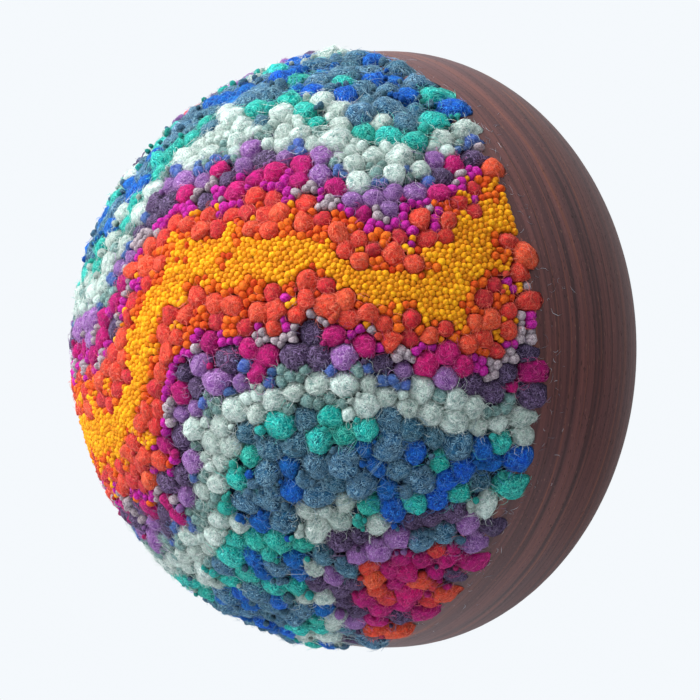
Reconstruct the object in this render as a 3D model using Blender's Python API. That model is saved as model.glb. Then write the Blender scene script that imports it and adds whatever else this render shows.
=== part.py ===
"""Punch needle wall dome: a dome of punched wool loops on a turned wood base.

The origin is the centre of the base's flat back, which lies against the wall. +Y runs
into the wall, the dome faces -Y and +Z is up. All sizes are in metres.
"""

import math
import random

import bmesh
import bpy
from mathutils import Vector, noise

# Turned base: radii, and heights out from the wall
BASE_DEPTH = 0.068
WIDEST_RADIUS = 0.090
WIDEST_HEIGHT = 0.045
BACK_REACH = 0.059
RIM_RADIUS = 0.087
EDGE_ROUND = 0.0012
BACK_STEPS = 8
FRONT_STEPS = 3
TURNED_SIDES = 88

# Punched dome: half axes out to the tops of its loops, and where its centre lies
SEAT_GAP = 0.0003
DOME_RADIUS = 0.0909
DOME_AXIS = 0.0897
DOME_CENTRE = BASE_DEPTH - 0.0161

# Lumps: how often each side of the icosahedron is split, and a lump's rounded form
NET_SPLITS = 13
LUMP_DRIFT = 0.0008
SHOULDER_REACH = 0.62
SHOULDER_DROP = 0.30
DRIFT_SEED = 11

# Wavy stripes: the middle one rises to the right, and each side runs through the zones
STRIPE_TILT = math.radians(24)
WAVE_SWING = 0.015
WAVE_LENGTH = 0.122
RIPPLE_SWING = 0.0035
RIPPLE_LENGTH = 0.051

# Zones out from the middle of the wave: where each ends, how far its loops' tops lie
# under the bulkiest ones, and how deep the gaps between its lumps are
ZONES = (
    {"name": "fine seeds", "end": 0.0125, "sunk": 0.0010, "gap": 0.0006},
    {"name": "soft coral", "end": 0.0205, "sunk": 0.0004, "gap": 0.0026},
    {"name": "fine beads", "end": 0.0245, "sunk": 0.0010, "gap": 0.0008},
    {"name": "bulky plum", "end": 0.0350, "sunk": 0.0002, "gap": 0.0034},
    {"name": "plied arches", "end": 0.0395, "sunk": 0.0010, "gap": 0.0010},
    {"name": "pale mix", "end": 0.0510, "sunk": 0.0004, "gap": 0.0028},
    {"name": "bulky wool", "end": math.inf, "sunk": 0.0, "gap": 0.0036},
)
BULKY_GAP = 0.002

FACES_OUT_FROM_WALL = (math.radians(90), 0, 0)


def add_object(name, mesh, material):
    """Puts a mesh in the scene with its local +Z pointing out from the wall."""
    piece = bpy.data.objects.new(name, mesh)
    piece.rotation_euler = FACES_OUT_FROM_WALL
    mesh.materials.append(material)
    bpy.context.collection.objects.link(piece)
    return piece


def make_material(name, colour, roughness):
    """A plain Principled finish."""
    material = bpy.data.materials.new(name)
    material.use_nodes = True
    shader = material.node_tree.nodes["Principled BSDF"]
    shader.inputs["Base Color"].default_value = (*colour, 1)
    shader.inputs["Roughness"].default_value = roughness
    shader.inputs["Metallic"].default_value = 0
    return material


def base_radius(height):
    """Radius of the turned base at a height out from the wall."""
    offset = height - WIDEST_HEIGHT
    if offset < 0:
        return WIDEST_RADIUS * math.sqrt(1 - (offset / BACK_REACH) ** 2)
    share = offset / (BASE_DEPTH - WIDEST_HEIGHT)
    return WIDEST_RADIUS - (WIDEST_RADIUS - RIM_RADIUS) * share**2


def base_profile():
    """The turner's profile from the front's centre, over the rim, to the back's centre."""
    front = [
        BASE_DEPTH - step * (BASE_DEPTH - WIDEST_HEIGHT) / FRONT_STEPS
        for step in range(FRONT_STEPS)
    ]
    angle_at_wall = math.asin(WIDEST_HEIGHT / BACK_REACH)
    back = [
        WIDEST_HEIGHT - BACK_REACH * math.sin(angle_at_wall * step / BACK_STEPS)
        for step in range(BACK_STEPS + 1)
    ]
    side = [(base_radius(height), height) for height in front + back]
    return [(0, BASE_DEPTH), *side, (0, side[-1][1])]


def make_base():
    """The wood body, turned in one piece, with its rim and back edges eased."""
    points = base_profile()
    mesh = bpy.data.meshes.new("turned_base")
    edges = [(index, index + 1) for index in range(len(points) - 1)]
    mesh.from_pydata([(radius, 0, height) for radius, height in points], edges, [])
    base = add_object("turned_base", mesh, make_material("oiled_wood", (0.09, 0.035, 0.02), 0.45))

    turn = base.modifiers.new("turn", "SCREW")
    turn.steps = TURNED_SIDES
    turn.render_steps = TURNED_SIDES
    turn.use_merge_vertices = True
    turn.merge_threshold = 0.00001
    turn.use_smooth_shade = True

    ease = base.modifiers.new("ease", "BEVEL")
    ease.width = EDGE_ROUND
    ease.segments = 2
    ease.limit_method = "ANGLE"
    ease.angle_limit = math.radians(35)


def stripe_distance(direction):
    """Distance along the dome from the middle of the wave, with its swing taken off."""
    across = Vector((-math.sin(STRIPE_TILT), math.cos(STRIPE_TILT), 0))
    along = Vector((math.cos(STRIPE_TILT), math.sin(STRIPE_TILT), 0))
    rise = DOME_RADIUS * math.asin(max(-1, min(1, direction.dot(across))))
    run = DOME_RADIUS * math.asin(max(-1, min(1, direction.dot(along))))
    wave = WAVE_SWING * math.sin(math.tau * run / WAVE_LENGTH)
    ripple = RIPPLE_SWING * math.sin(math.tau * run / RIPPLE_LENGTH)
    return abs(rise - wave - ripple)


def zone_at(direction):
    """The stripe zone that a direction falls in."""
    distance = stripe_distance(direction)
    return next(zone for zone in ZONES if distance < zone["end"])


def dome_point(direction, sunk):
    """The point in a direction from the dome's centre, sunk under its outer surface."""
    half_axes = Vector((DOME_RADIUS, DOME_RADIUS, DOME_AXIS))
    return direction * (half_axes - Vector((sunk, sunk, sunk)))


def even_net():
    """A ball of even triangles, whose corners are the lumps' centres, drifted a little."""
    net = bmesh.new()
    bmesh.ops.create_icosphere(net, subdivisions=1, radius=1)
    bmesh.ops.subdivide_edges(net, edges=net.edges[:], cuts=NET_SPLITS - 1, use_grid_fill=True)
    steps = random.Random(DRIFT_SEED)
    reach = LUMP_DRIFT / DOME_RADIUS
    for corner in net.verts:
        push = Vector([steps.uniform(-reach, reach) for _ in range(3)])
        corner.co = (corner.co.normalized() + push).normalized()
    return net


def lay_lump(skin, centre, valleys):
    """One loop's lump: gap points round it, and for bulky wool a raised shoulder ring."""
    zone = zone_at(centre)
    uneven = 1 + 0.5 * noise.noise(centre * 30)
    top = skin.verts.new(dome_point(centre, zone["sunk"] * uneven))
    ring = valleys
    if zone["gap"] > BULKY_GAP:
        drop = zone["sunk"] * uneven + zone["gap"] * SHOULDER_DROP
        ring = []
        for valley in valleys:
            direction = centre.lerp(valley.co.normalized(), SHOULDER_REACH).normalized()
            ring.append(skin.verts.new(dome_point(direction, drop)))
        for index, valley in enumerate(valleys):
            after = (index + 1) % len(valleys)
            skin.faces.new((valley, valleys[after], ring[after], ring[index]))
    for index, corner in enumerate(ring):
        skin.faces.new((corner, ring[(index + 1) % len(ring)], top))


def round_a_corner(corner):
    """The net's triangles about a corner, in turning order."""
    spot = corner.co
    side = spot.orthogonal().normalized()
    other = spot.cross(side)

    def turn(face):
        way = face.calc_center_median() - spot
        return math.atan2(way.dot(other), way.dot(side))

    return sorted(corner.link_faces, key=turn)


def make_cushion():
    """One filled dome whose skin carries a lump for each bulky loop of wool."""
    net = even_net()
    net.faces.ensure_lookup_table()
    seat = BASE_DEPTH + SEAT_GAP - DOME_CENTRE
    skin = bmesh.new()

    lowest = seat / DOME_AXIS - 0.2
    gaps = {}
    for face in net.faces:
        direction = face.calc_center_median().normalized()
        if direction.z > lowest:
            zone = zone_at(direction)
            gaps[face.index] = skin.verts.new(dome_point(direction, zone["sunk"] + zone["gap"]))
    for corner in net.verts:
        around = round_a_corner(corner)
        if all(face.index in gaps for face in around):
            lay_lump(skin, corner.co.copy(), [gaps[face.index] for face in around])
    net.free()

    loose = [vertex for vertex in skin.verts if not vertex.link_faces]
    bmesh.ops.delete(skin, geom=loose, context="VERTS")
    bmesh.ops.triangulate(skin, faces=[face for face in skin.faces if len(face.verts) > 3])
    cut = bmesh.ops.bisect_plane(
        skin,
        geom=skin.verts[:] + skin.edges[:] + skin.faces[:],
        dist=0.0006,
        plane_co=(0, 0, seat),
        plane_no=(0, 0, -1),
        clear_outer=True,
    )
    for item in cut["geom_cut"]:
        if isinstance(item, bmesh.types.BMVert):
            item.co.z = seat
    bmesh.ops.holes_fill(skin, edges=[edge for edge in skin.edges if edge.is_boundary])
    bmesh.ops.recalc_face_normals(skin, faces=skin.faces[:])
    bmesh.ops.translate(skin, verts=skin.verts[:], vec=(0, 0, DOME_CENTRE))

    mesh = bpy.data.meshes.new("punched_cushion")
    skin.to_mesh(mesh)
    skin.free()
    mesh.shade_smooth()
    add_object("punched_cushion", mesh, make_material("punched_wool", (0.32, 0.12, 0.18), 0.95))


def main():
    for old in list(bpy.data.objects):
        bpy.data.objects.remove(old, do_unlink=True)
    make_base()
    make_cushion()


main()
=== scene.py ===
"""Looks of the punch needle wall dome: turned wood, ground cloth and wool loops."""

import math

import bpy
import numpy as np
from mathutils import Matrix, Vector


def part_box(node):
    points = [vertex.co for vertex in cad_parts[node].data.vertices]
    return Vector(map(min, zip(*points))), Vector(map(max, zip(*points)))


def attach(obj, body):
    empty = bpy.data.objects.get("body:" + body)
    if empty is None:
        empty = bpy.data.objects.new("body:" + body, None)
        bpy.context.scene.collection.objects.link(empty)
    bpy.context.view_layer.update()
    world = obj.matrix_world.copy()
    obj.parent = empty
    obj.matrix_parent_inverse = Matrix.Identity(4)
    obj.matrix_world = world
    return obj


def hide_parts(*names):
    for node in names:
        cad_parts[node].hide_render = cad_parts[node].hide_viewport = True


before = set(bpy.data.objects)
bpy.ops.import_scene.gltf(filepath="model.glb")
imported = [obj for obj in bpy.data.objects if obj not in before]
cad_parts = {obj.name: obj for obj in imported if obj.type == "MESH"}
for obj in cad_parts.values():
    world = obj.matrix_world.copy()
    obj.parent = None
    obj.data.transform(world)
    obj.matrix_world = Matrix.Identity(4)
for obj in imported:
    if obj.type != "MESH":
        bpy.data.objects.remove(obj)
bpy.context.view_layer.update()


# The turned base is one block of oiled dark wood, turned round with a flat back for the
# wall and a plain front that the cloth sits on. Its edges are eased, and it is rubbed
# smooth and oiled, so that the growth rings and pores show under a satin surface.

WOOD_LOW, WOOD_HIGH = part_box("turned_base")
WOOD_DEPTH = WOOD_HIGH.y - WOOD_LOW.y
WOOD_RADIUS = WOOD_HIGH.x

# The rest of the turned profile, and how finely it is turned and eased
WIDEST_HEIGHT = 0.045
BACK_REACH = 0.059
RIM_RADIUS = 0.087
EDGE_EASE = 0.0010
WOOD_SIDES = 240
SIDE_STEPS = 26
EASE_STEPS = 3

# The pith of the tree runs up and down far behind the wall, and its growth layers drift
PITH_ACROSS = 0.045
PITH_BEHIND = 0.27
LAYER_DRIFT = 0.006


class Tone:
    """A value in a finish, whose sums and products add Math nodes to it."""

    def __init__(self, finish, socket):
        self.finish = finish
        self.socket = socket

    def math(self, operation, first, second=0.0):
        return self.finish.add("ShaderNodeMath", {"operation": operation}, {0: first, 1: second})

    def __add__(self, other):
        return self.math("ADD", self, other)

    def __radd__(self, other):
        return self.math("ADD", other, self)

    def __sub__(self, other):
        return self.math("SUBTRACT", self, other)

    def __rsub__(self, other):
        return self.math("SUBTRACT", other, self)

    def __mul__(self, other):
        return self.math("MULTIPLY", self, other)

    def __rmul__(self, other):
        return self.math("MULTIPLY", other, self)

    def __abs__(self):
        return self.math("ABSOLUTE", self)

    def __pow__(self, power):
        return self.math("POWER", self, power)

    def between(self, low, high):
        """0 under low, 1 over high, and smooth from one to the other."""
        settings = {"interpolation_type": "SMOOTHSTEP"}
        span = {"Value": self, "From Min": low, "From Max": high}
        return self.finish.add("ShaderNodeMapRange", settings, span)

    def other(self, name):
        """Another output of the node that this value comes from."""
        return Tone(self.finish, self.socket.node.outputs[name])


class Finish:
    """One material, whose add() puts in a node and gives back its output."""

    def __init__(self, name, **constants):
        self.material = bpy.data.materials.new(name)
        self.material.use_nodes = True
        self.tree = self.material.node_tree
        self.shader = self.tree.nodes["Principled BSDF"]
        for socket, value in constants.items():
            self.put(self.shader.inputs[socket.replace("_", " ")], value)

    def put(self, socket, value):
        """Sets a socket to a value, or links it to a tone."""
        if isinstance(value, Tone):
            self.tree.links.new(value.socket, socket)
        else:
            socket.default_value = value

    def add(self, kind, settings=None, inputs=None, output=0):
        node = self.tree.nodes.new(kind)
        for key, value in (settings or {}).items():
            setattr(node, key, value)
        for key, value in (inputs or {}).items():
            self.put(node.inputs[key], value)
        return Tone(self, node.outputs[output])

    def mix(self, share, first, second, blend_type="MIX"):
        """A colour between two others."""
        settings = {"data_type": "RGBA", "blend_type": blend_type}
        return self.add("ShaderNodeMix", settings, {0: share, 6: first, 7: second}, output=2)

    def grain(self, place, scale, detail=2.0, seed=0.0, roughness=0.5):
        """Noise about a place, from 0 to 1."""
        inputs = {"Vector": place, "W": seed, "Scale": scale, "Detail": detail}
        inputs["Roughness"] = roughness
        return self.add("ShaderNodeTexNoise", {"noise_dimensions": "4D"}, inputs)

    def at(self, x, y, z):
        """The place with these X, Y and Z."""
        return self.add("ShaderNodeCombineXYZ", inputs={0: x, 1: y, 2: z})

    def parts(self, place):
        """The X, Y and Z of a place."""
        split = self.add("ShaderNodeSeparateXYZ", inputs={0: place})
        return split, split.other("Y"), split.other("Z")

    def raise_by(self, height, strength, distance):
        """Fine relief over the whole surface."""
        inputs = {"Strength": strength, "Distance": distance, "Height": height}
        self.put(self.shader.inputs["Normal"], self.add("ShaderNodeBump", inputs=inputs))


def screen(red, green, blue):
    """A colour as a screen shows it, from 0 to 255, as the shader's linear one."""
    shares = [value / 255 for value in (red, green, blue)]
    return (*[s / 12.92 if s <= 0.04045 else ((s + 0.055) / 1.055) ** 2.4 for s in shares], 1.0)


def wood_radius(height):
    """Radius of the turned side at a height out from the wall."""
    offset = height - WIDEST_HEIGHT
    if offset < 0:
        return WOOD_RADIUS * math.sqrt(1 - (offset / BACK_REACH) ** 2)
    share = offset / (WOOD_DEPTH - WIDEST_HEIGHT)
    return WOOD_RADIUS - (WOOD_RADIUS - RIM_RADIUS) * share**2


def eased_corner(radius, height, face_way):
    """Points of a small round between a flat face and the turned side."""
    points = []
    for step in range(EASE_STEPS + 1):
        angle = math.pi / 2 * step / EASE_STEPS
        inset = EDGE_EASE * (1 - math.sin(angle))
        drop = EDGE_EASE * (1 - math.cos(angle))
        points.append((radius - inset, height - face_way * drop))
    return points


def turned_profile():
    """Radius and height of each ring of the turned side, from the rim to the back."""
    top, foot = WOOD_DEPTH - EDGE_EASE, EDGE_EASE
    rim = eased_corner(wood_radius(top), WOOD_DEPTH, 1)
    heights = [top + (foot - top) * step / SIDE_STEPS for step in range(1, SIDE_STEPS)]
    back = eased_corner(wood_radius(foot), 0.0, -1)
    return rim + [(wood_radius(height), height) for height in heights] + back[::-1]


def deselect():
    bpy.ops.object.select_all(action="DESELECT")


def edit_all():
    """Goes into edit mode with all of a piece selected."""
    bpy.ops.object.mode_set(mode="EDIT")
    bpy.ops.mesh.select_all(action="SELECT")


def leave_edit():
    bpy.ops.object.mode_set(mode="OBJECT")


def turn_wood():
    """A disc at the rim, extruded ring by ring along the turned side to the back."""
    deselect()
    rings = turned_profile()
    radius, height = rings[0]
    bpy.ops.mesh.primitive_circle_add(
        vertices=WOOD_SIDES,
        radius=radius,
        fill_type="NGON",
        location=(0, -height, 0),
        rotation=(math.pi / 2, 0, 0),
    )
    wood = bpy.context.object
    wood.name = "oiled_turned_wood"
    bpy.ops.object.transform_apply(location=True, rotation=True, scale=True)
    edit_all()
    for next_radius, next_height in rings[1:]:
        move = {"value": (0, height - next_height, 0)}
        bpy.ops.mesh.extrude_region_move(TRANSFORM_OT_translate=move)
        growth = next_radius / radius
        centre = (0, -next_height, 0)
        bpy.ops.transform.resize(value=(growth, 1, growth), center_override=centre)
        radius, height = next_radius, next_height
    bpy.ops.mesh.select_all(action="SELECT")
    bpy.ops.mesh.normals_make_consistent(inside=False)
    leave_edit()
    bpy.ops.object.shade_smooth_by_angle(angle=math.radians(40))
    return wood


def oiled_finish():
    """Growth layers about the pith, cut through as lines round the side, with open pores, and pale
    specks that are partly dust and partly painted highlights.
    """
    finish = Finish("oiled_dark_wood", Specular_IOR_Level=0.5)
    place = finish.add("ShaderNodeTexCoord", output="Object")
    x, y, z = finish.parts(place)
    across = x - PITH_ACROSS
    behind = y - PITH_BEHIND
    drift = finish.grain(finish.at(x * 16, y * 30, z * 7), 1.0, 2.0, 1.0) - 0.5
    depth = (across * across + behind * behind) ** 0.5 + drift * LAYER_DRIFT

    layer = finish.at(x * 9, depth * 430, z * 4)
    bands = finish.grain(layer, 1.0, 4.0, 2.0, 0.62)
    dark_edge = finish.grain(layer, 0.55, 1.0, 5.0)
    warm_edge = finish.grain(layer, 0.75, 1.0, 9.0)
    dark_line = (1 - abs(dark_edge - 0.5) * 26).between(0.0, 1.0)
    warm_line = (1 - abs(warm_edge - 0.5) * 30).between(0.0, 1.0)
    streaks = finish.grain(finish.at(x * 55, depth * 3000, z * 20), 1.0, 2.0, 7.0, 0.6)
    pores = finish.grain(finish.at(x * 1700, depth * 2600, z * 380), 1.0, 1.0, 11.0)
    pore = pores.between(0.62, 0.70)
    # Pale specks by the pores: partly dust, partly painted highlights
    dust_and_glint = (1 - pores).between(0.66, 0.74)
    cloud = finish.grain(place, 26.0, 2.0, 3.0)

    body = finish.mix(bands.between(0.3, 0.7), screen(74, 40, 42), screen(120, 69, 64))
    body = finish.mix(cloud.between(0.35, 0.7) * 0.35, body, screen(96, 67, 72))
    lined = finish.mix(dark_line * 0.55, body, screen(36, 18, 23))
    warmed = finish.mix(warm_line * bands.between(0.4, 0.6) * 0.6, lined, screen(152, 84, 54))
    streaked = finish.mix(streaks.between(0.35, 0.7) * 0.3, warmed, screen(52, 26, 27))
    porous = finish.mix(pore * 0.55, streaked, screen(22, 12, 14))
    colour = finish.mix(dust_and_glint * 0.34, porous, screen(170, 124, 104))
    finish.put(finish.shader.inputs["Base Color"], colour)
    shine = 0.42 + streaks * 0.14 + pore * 0.2
    finish.put(finish.shader.inputs["Roughness"], shine)
    finish.raise_by(streaks * 0.5 - pore * 0.9 - dark_line * 0.25, 0.35, 0.00012)
    return finish.material


wood = turn_wood()
wood.data.materials.append(oiled_finish())
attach(wood, "root")
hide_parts("turned_base")


# The pattern is drawn on the ground cloth before punching: wavy stripes that rise to the
# right, each with its own yarns. The maker punches from it, the bulky wool first and the
# thin yarns close together after it, so each loop's place and size is planned here.

# The dome: the height of its flat seat on the wood, its half axes and its middle
SEAT = -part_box("punched_cushion")[1].y
DOME_RADIUS = 0.0909
DOME_AXIS = 0.0897
DOME_CENTRE = WOOD_DEPTH - 0.0161
HALF_AXES = np.array([DOME_RADIUS, DOME_AXIS, DOME_RADIUS])
MIDDLE = np.array([0.0, -DOME_CENTRE, 0.0])

# The wavy stripes, and how ragged their borders and how large their clumps of yarn are
STRIPE_TILT = math.radians(24)
WAVE_SWING = 0.015
WAVE_LENGTH = 0.122
RIPPLE_SWING = 0.0035
RIPPLE_LENGTH = 0.051
BORDER_RAG = 0.0016
CLUMP_LENGTH = 0.0115
RAG_LENGTH = 0.008
FIELD_WAVES = 28
FIELD_SLOPE = 1.7

# Throws: the least and most of a yarn's pitch that a loop has, how near loops may lie, and
# how many are tried; each throw starts with the bulky yarns and ends with the thin ones
THROWS = (
    {"least": 0.86, "most": 1.16, "gap": 0.745, "tries": (14000, 60000, 260000)},
    {"least": 0.74, "most": 1.0, "gap": 0.82, "tries": (14000, 50000, 200000)},
)
SIZE_GROUPS = (range(7, 15), range(3, 7), range(0, 3))
BATCH = 1500
RIM_LIFT = 0.04

# Holes that get one more loop: the places tried, the least width, and how near these lie
HOLE_TRIES = 60000
HOLE_LEAST = 0.0011
HOLE_GAP = 0.9

# Settling: how far a loop feels its neighbours, in pitches, how much of an overlap each
# round takes away, and after how many rounds the neighbours are looked up afresh
SETTLE_REACH = 0.8
SETTLE_SHARE = 0.45
SETTLE_ROUNDS = 24
LOOKED_UP_EACH = 8

# Yarns: the pitch of their loops, and how far the loops' tops stay under the bulkiest
YARNS = {
    "gold": {"pitch": 0.00185, "sunk": 0.0009},
    "orange": {"pitch": 0.0025, "sunk": 0.0007},
    "bead": {"pitch": 0.0025, "sunk": 0.0005},
    "fuchsia": {"pitch": 0.0029, "sunk": 0.0007},
    "denim": {"pitch": 0.0032, "sunk": 0.0008},
    "sage": {"pitch": 0.0035, "sunk": 0.0009},
    "pearl": {"pitch": 0.0036, "sunk": 0.0006},
    "coral": {"pitch": 0.0060, "sunk": 0.0003},
    "raspberry": {"pitch": 0.0066, "sunk": 0.0004},
    "lilac": {"pitch": 0.0070, "sunk": 0.0001},
    "cobalt": {"pitch": 0.0070, "sunk": 0.0001},
    "mint": {"pitch": 0.0072, "sunk": 0.0001},
    "plum": {"pitch": 0.0074, "sunk": 0.0005},
    "turquoise": {"pitch": 0.0076, "sunk": 0.0},
    "slate": {"pitch": 0.0082, "sunk": 0.0},
}
YARN_NAMES = list(YARNS)
PITCH = np.array([YARNS[name]["pitch"] for name in YARN_NAMES])
SUNK = np.array([YARNS[name]["sunk"] for name in YARN_NAMES])

# Zones out from the middle of the wave: where each ends, and its yarns with their shares
ZONES = (
    {"end": 0.0075, "yarns": {"gold": 0.93, "orange": 0.07}},
    {"end": 0.0125, "yarns": {"gold": 0.26, "orange": 0.48, "coral": 0.26}},
    {"end": 0.0205, "yarns": {"orange": 0.18, "coral": 0.68, "gold": 0.05, "fuchsia": 0.09}},
    {"end": 0.0245, "yarns": {"orange": 0.12, "fuchsia": 0.54, "bead": 0.34}},
    {"end": 0.0300, "yarns": {"fuchsia": 0.08, "raspberry": 0.52, "plum": 0.30, "bead": 0.10}},
    {"end": 0.0350, "yarns": {"raspberry": 0.10, "plum": 0.42, "lilac": 0.48}},
    {"end": 0.0395, "yarns": {"lilac": 0.18, "denim": 0.60, "sage": 0.22}},
    {"end": 0.0510, "yarns": {"pearl": 0.26, "mint": 0.48, "sage": 0.26}},
    {"end": 0.0600, "yarns": {"mint": 0.22, "turquoise": 0.60, "slate": 0.18}},
    {"end": 0.0820, "yarns": {"turquoise": 0.10, "slate": 0.60, "cobalt": 0.30}},
    {"end": 0.0930, "yarns": {"cobalt": 0.16, "mint": 0.50, "turquoise": 0.34}},
    {"end": 0.1060, "yarns": {"slate": 0.24, "lilac": 0.40, "plum": 0.36}},
    {"end": math.inf, "yarns": {"plum": 0.16, "raspberry": 0.36, "coral": 0.48}},
)

draws = np.random.default_rng(20)


def unit(ways):
    """Directions of length one."""
    return ways / np.linalg.norm(ways, axis=1, keepdims=True)


def waves(length):
    """Random plane waves of one length, whose sum is an even, clumpy field."""
    ways = draws.normal(size=(FIELD_WAVES, 3))
    ways *= math.tau / length / np.linalg.norm(ways, axis=1, keepdims=True)
    shifts = draws.uniform(0, math.tau, FIELD_WAVES)
    return ways, shifts


def field(spots, swell):
    """The clumpy field at some spots, from 0 to 1, with each value as common."""
    ways, shifts = swell
    total = np.sin(spots @ ways.T + shifts).sum(axis=1) / math.sqrt(len(shifts) / 2)
    return 1 / (1 + np.exp(-FIELD_SLOPE * total))


CLUMPS = waves(CLUMP_LENGTH)
RAGS = waves(RAG_LENGTH)


def dome_spots(ways, sunk=0.0):
    """Where directions from the dome's middle meet a skin sunk under its surface."""
    depth = np.broadcast_to(np.asarray(sunk, float), (len(ways),))[:, None]
    return MIDDLE + ways * (HALF_AXES - depth)


def stripe_run(ways):
    """Distance across the stripes from the middle of the wave."""
    across = ways @ np.array([-math.sin(STRIPE_TILT), 0, math.cos(STRIPE_TILT)])
    along = ways @ np.array([math.cos(STRIPE_TILT), 0, math.sin(STRIPE_TILT)])
    rise = DOME_RADIUS * np.arcsin(np.clip(across, -1, 1))
    run = DOME_RADIUS * np.arcsin(np.clip(along, -1, 1))
    wave = WAVE_SWING * np.sin(math.tau * run / WAVE_LENGTH)
    return rise - wave - RIPPLE_SWING * np.sin(math.tau * run / RIPPLE_LENGTH)


def yarns_at(ways):
    """The number of the yarn that the pattern gives each direction."""
    spots = dome_spots(ways)
    distance = np.abs(stripe_run(ways)) + BORDER_RAG * (2 * field(spots, RAGS) - 1)
    clump = field(spots, CLUMPS)
    chosen = np.zeros(len(ways), int)
    start = -math.inf
    for zone in ZONES:
        inside = (distance >= start) & (distance < zone["end"])
        reached = 0.0
        for name, share in zone["yarns"].items():
            picked = inside & (clump >= reached - 1e-9)
            chosen[picked] = YARN_NAMES.index(name)
            reached += share
        start = zone["end"]
    return chosen


def rim_limit(pitch):
    """The least reach towards the front that keeps a loop of some pitch over the rim."""
    return (SEAT + RIM_LIFT * pitch - DOME_CENTRE) / DOME_AXIS


def distances(first, second):
    """Distance of each of some spots to each of others."""
    square = (first**2).sum(axis=1)[:, None] + (second**2).sum(axis=1)[None, :]
    return np.sqrt(np.maximum(square - 2 * first @ second.T, 0))


def throw(tries):
    """Random directions over the dome, with the yarn that the pattern gives each."""
    ways = unit(draws.normal(size=(tries, 3)))
    ways[:, 1] = -np.abs(ways[:, 1])
    return ways, yarns_at(ways)


def throw_loops(spots, kinds, sizes, least, most, gap, tries):
    """More loops thrown on the pattern, the largest first, none too near another."""
    for group, many in zip(SIZE_GROUPS, tries):
        ways, new_kinds = throw(many)
        new_sizes = PITCH[new_kinds] * draws.uniform(least, most, many)
        fits = np.isin(new_kinds, list(group)) & (-ways[:, 1] > rim_limit(new_sizes))
        new_spots, new_kinds, new_sizes = dome_spots(ways[fits]), new_kinds[fits], new_sizes[fits]
        for start in range(0, len(new_spots), BATCH):
            batch = slice(start, start + BATCH)
            apart = distances(new_spots[batch], spots)
            clear = (apart >= gap * (new_sizes[batch, None] + sizes[None, :]) / 2).all(axis=1)
            taken = []
            for one in start + np.nonzero(clear)[0]:
                near = np.linalg.norm(new_spots[taken] - new_spots[one], axis=1)
                if (near >= gap * (new_sizes[taken] + new_sizes[one]) / 2).all():
                    taken.append(one)
            spots = np.vstack([spots, new_spots[taken]])
            kinds = np.append(kinds, new_kinds[taken])
            sizes = np.append(sizes, new_sizes[taken])
    return spots, kinds, sizes


def fill_holes(spots, kinds, sizes):
    """Thinner loops of the same yarns in the holes that are left, the widest first."""
    ways, new_kinds = throw(HOLE_TRIES)
    new_spots = dome_spots(ways)
    room = np.concatenate([
        (2 * distances(new_spots[start:start + BATCH], spots) - sizes[None, :]).min(axis=1)
        for start in range(0, HOLE_TRIES, BATCH)
    ])
    room[-ways[:, 1] < rim_limit(np.maximum(room, 0))] = 0
    wide = np.nonzero(room > HOLE_LEAST)[0]
    taken, widths = [], []
    for one in wide[np.argsort(-room[wide])]:
        width = min(room[one], PITCH[new_kinds[one]])
        near = np.linalg.norm(new_spots[taken] - new_spots[one], axis=1)
        if (near >= HOLE_GAP * (np.array(widths) + width) / 2).all():
            taken.append(one)
            widths.append(width)
    spots = np.vstack([spots, new_spots[taken]])
    return spots, np.append(kinds, new_kinds[taken]), np.append(sizes, widths)


def near_pairs(spots, reach):
    """Pairs of loops that lie nearer than the sum of their reaches."""
    apart = distances(spots, spots)
    first, second = np.nonzero(np.triu(apart < reach[:, None] + reach[None, :], 1))
    return first, second


def settle(spots, pitch):
    """Loops pushed apart by their neighbours until they lie snugly."""
    lowest = rim_limit(pitch)
    for turn in range(SETTLE_ROUNDS):
        if turn % LOOKED_UP_EACH == 0:
            first, second = near_pairs(spots, pitch * SETTLE_REACH)
        apart = spots[first] - spots[second]
        gap = np.linalg.norm(apart, axis=1, keepdims=True) + 1e-9
        want = (pitch[first] + pitch[second])[:, None] / 2
        push = np.clip(want - gap, 0, None) * SETTLE_SHARE * apart / gap
        weight = (pitch[second] ** 2 / (pitch[first] ** 2 + pitch[second] ** 2))[:, None]
        np.add.at(spots, first, push * weight)
        np.add.at(spots, second, -push * (1 - weight))
        ways = unit((spots - MIDDLE) / HALF_AXES)
        low = -ways[:, 1] < lowest
        ways[low, 1] = -lowest[low]
        flat = np.sqrt(1 - lowest[low] ** 2) / np.linalg.norm(ways[low][:, [0, 2]], axis=1)
        ways[low, 0] *= flat
        ways[low, 2] *= flat
        spots = MIDDLE + ways * HALF_AXES
    return spots


# Every loop's place on the dome, yarn, pitch, direction, and own number from 0 to 1
LOOP_SPOT, LOOP_KIND, LOOP_PITCH = np.zeros((0, 3)), np.zeros(0, int), np.zeros(0)
for thrown in THROWS:
    LOOP_SPOT, LOOP_KIND, LOOP_PITCH = throw_loops(LOOP_SPOT, LOOP_KIND, LOOP_PITCH, **thrown)
    LOOP_SPOT = settle(LOOP_SPOT, LOOP_PITCH)
LOOP_SPOT, LOOP_KIND, LOOP_PITCH = fill_holes(LOOP_SPOT, LOOP_KIND, LOOP_PITCH)
LOOP_SPOT = settle(LOOP_SPOT, LOOP_PITCH)
LOOP_WAY = (LOOP_SPOT - MIDDLE) / HALF_AXES
LOOP_OWN = draws.uniform(0, 1, len(LOOP_KIND))


# The ground cloth is a tight dome, filled and drawn down over the front of the wood. Only
# its surface between the loops can be seen, thick with the legs of the yarn around it, and
# its colour is the legs' dye darkened as painted shade.

CLOTH_SIDES = 176
CLOTH_RINGS = 90
CLOTH_BATCH = 2000
HEM_GAP = 0.0001

# The cloth's depth under the loops' tops, with a share of their pitch, and how softly the
# depth passes from one yarn to the next
LEG_DEPTH = 0.0010
LEG_SHARE = 0.50
BLEND_REACH = 0.0012

# The legs' dye along the stripes, darker than the yarns themselves as painted shade in the gaps
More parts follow.
